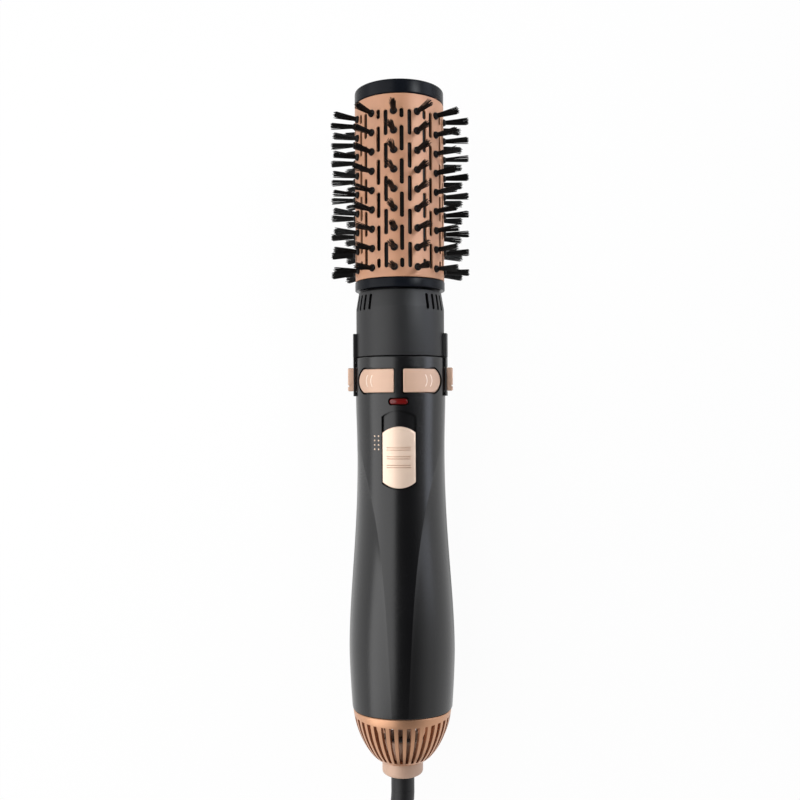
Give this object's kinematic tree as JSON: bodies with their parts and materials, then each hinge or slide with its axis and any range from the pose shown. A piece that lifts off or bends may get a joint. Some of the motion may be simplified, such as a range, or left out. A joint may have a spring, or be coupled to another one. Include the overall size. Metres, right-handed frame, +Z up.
{
  "type": "rotating hot air brush",
  "caption": "Hand-held hot air styling brush: slotted rose-gold barrel with bristle tufts turning on a black waisted handle with slider, direction buttons, inlet grille and mains lead.",
  "frame": {"origin": "centre of the brush's outline on the table, without its cord", "axes": "+Y along the brush towards its tip, +Z up from the table, front with the switches up, +X to the right of someone who sees the front with the tip up"},
  "size_m": [0.0876, 0.5044, 0.0666],
  "materials": {
    "barrel_gold": "satin rose-gold anodised",
    "trim_gold": "satin metallised rose gold",
    "satin_black": "satin black",
    "gloss_black": "semi-gloss black",
    "bristle_nylon": "black nylon",
    "lens_red": "clear dark red",
    "white_plastic": "natural",
    "board_green": "lacquered board",
    "mica": "mica sheet",
    "steel": "plain",
    "cord_rubber": "matt black"
  },
  "bodies": {
    "handle": {"front_shell": "satin_black", "rear_shell": "satin_black", "inlet_grille": "trim_gold", "cord_collar": "trim_gold", "outlet_nozzle": "satin_black", "release_bezel_left": "satin_black", "release_bezel_right": "satin_black", "indicator_lens": "lens_red", "indicator_lamp": "white_plastic", "switch_board": "board_green", "slide_switch": "satin_black", "push_switch_left": "satin_black", "push_switch_right": "satin_black", "heater_frame": "mica", "heating_winding": "steel", "heater_sleeve": "mica", "thermostat": "steel", "gearbox": "white_plastic", "brush_motor": "steel", "gear_mount": "satin_black", "fan_motor": "steel", "motor_mount": "satin_black", "cord_boot": "cord_rubber", "power_lead": "cord_rubber", "cord_coil": "cord_rubber", "cord_tail": "cord_rubber", "cord_tie": "cord_rubber", "plug_body": "cord_rubber", "plug_pin_left": "steel", "plug_pin_right": "steel"},
    "head": {"head_neck": "satin_black", "retaining_ring": "steel"},
    "barrel": {"brush_barrel": "barrel_gold", "tip_cap": "gloss_black", "barrel_base": "gloss_black", "brush_spindle": "steel", "bristle_strip_01": "bristle_nylon", "bristle_strip_02": "bristle_nylon", "bristle_strip_03": "bristle_nylon", "bristle_strip_04": "bristle_nylon", "bristle_strip_05": "bristle_nylon", "bristle_strip_06": "bristle_nylon", "bristle_strip_07": "bristle_nylon", "bristle_strip_08": "bristle_nylon", "bristle_strip_09": "bristle_nylon", "bristle_strip_10": "bristle_nylon", "bristle_strip_11": "bristle_nylon", "bristle_strip_12": "bristle_nylon"},
    "drive": {"drive_shaft": "steel"},
    "fan": {"fan_impeller": "white_plastic"},
    "release_left": {"release_button_left": "trim_gold"},
    "release_right": {"release_button_right": "trim_gold"},
    "slider": {"mode_slider": "trim_gold"},
    "direction_left": {"direction_button_left": "trim_gold"},
    "direction_right": {"direction_button_right": "trim_gold"},
    "swivel": {"swivel_sleeve": "cord_rubber"}
  },
  "joints": [
    {"name": "head_release", "type": "slide", "parent": "handle", "child": "head", "axis": [0, 0.999, 0.0445], "range_m": [0, 0.04]},
    {"name": "brush_spin", "type": "hinge", "parent": "head", "child": "barrel", "pos_m": [0, 0.09904, 0.03282], "axis": [0, 0.999, 0.0445], "continuous": true},
    {"name": "drive_spin", "type": "hinge", "parent": "handle", "child": "drive", "pos_m": [0, 0.09904, 0.03282], "axis": [0, 0.999, 0.0445], "continuous": true},
    {"name": "fan_spin", "type": "hinge", "parent": "handle", "child": "fan", "pos_m": [0, -0.15071, 0.02169], "axis": [0, 0.999, 0.0445], "continuous": true},
    {"name": "release_left_press", "type": "slide", "parent": "handle", "child": "release_left", "axis": [1, 0, 0], "range_m": [0, 0.0012], "stiffness_N_per_m": 2500},
    {"name": "release_right_press", "type": "slide", "parent": "handle", "child": "release_right", "axis": [-1, 0, 0], "range_m": [0, 0.0012], "stiffness_N_per_m": 2500},
    {"name": "mode_slide", "type": "slide", "parent": "handle", "child": "slider", "axis": [0, 0.999, 0.0445], "range_m": [0, 0.006]},
    {"name": "direction_left_press", "type": "slide", "parent": "handle", "child": "direction_left", "axis": [0, 0.0445, -0.999], "range_m": [0, 0.001], "stiffness_N_per_m": 1500},
    {"name": "direction_right_press", "type": "slide", "parent": "handle", "child": "direction_right", "axis": [0, 0.0445, -0.999], "range_m": [0, 0.001], "stiffness_N_per_m": 1500},
    {"name": "cord_swivel", "type": "hinge", "parent": "handle", "child": "swivel", "pos_m": [0, -0.15071, 0.02169], "axis": [0, 0.999, 0.0445], "continuous": true}
  ],
  "couplings": [
    {"joint": "drive_spin", "follows": "brush_spin", "ratio": 1}
  ]
}
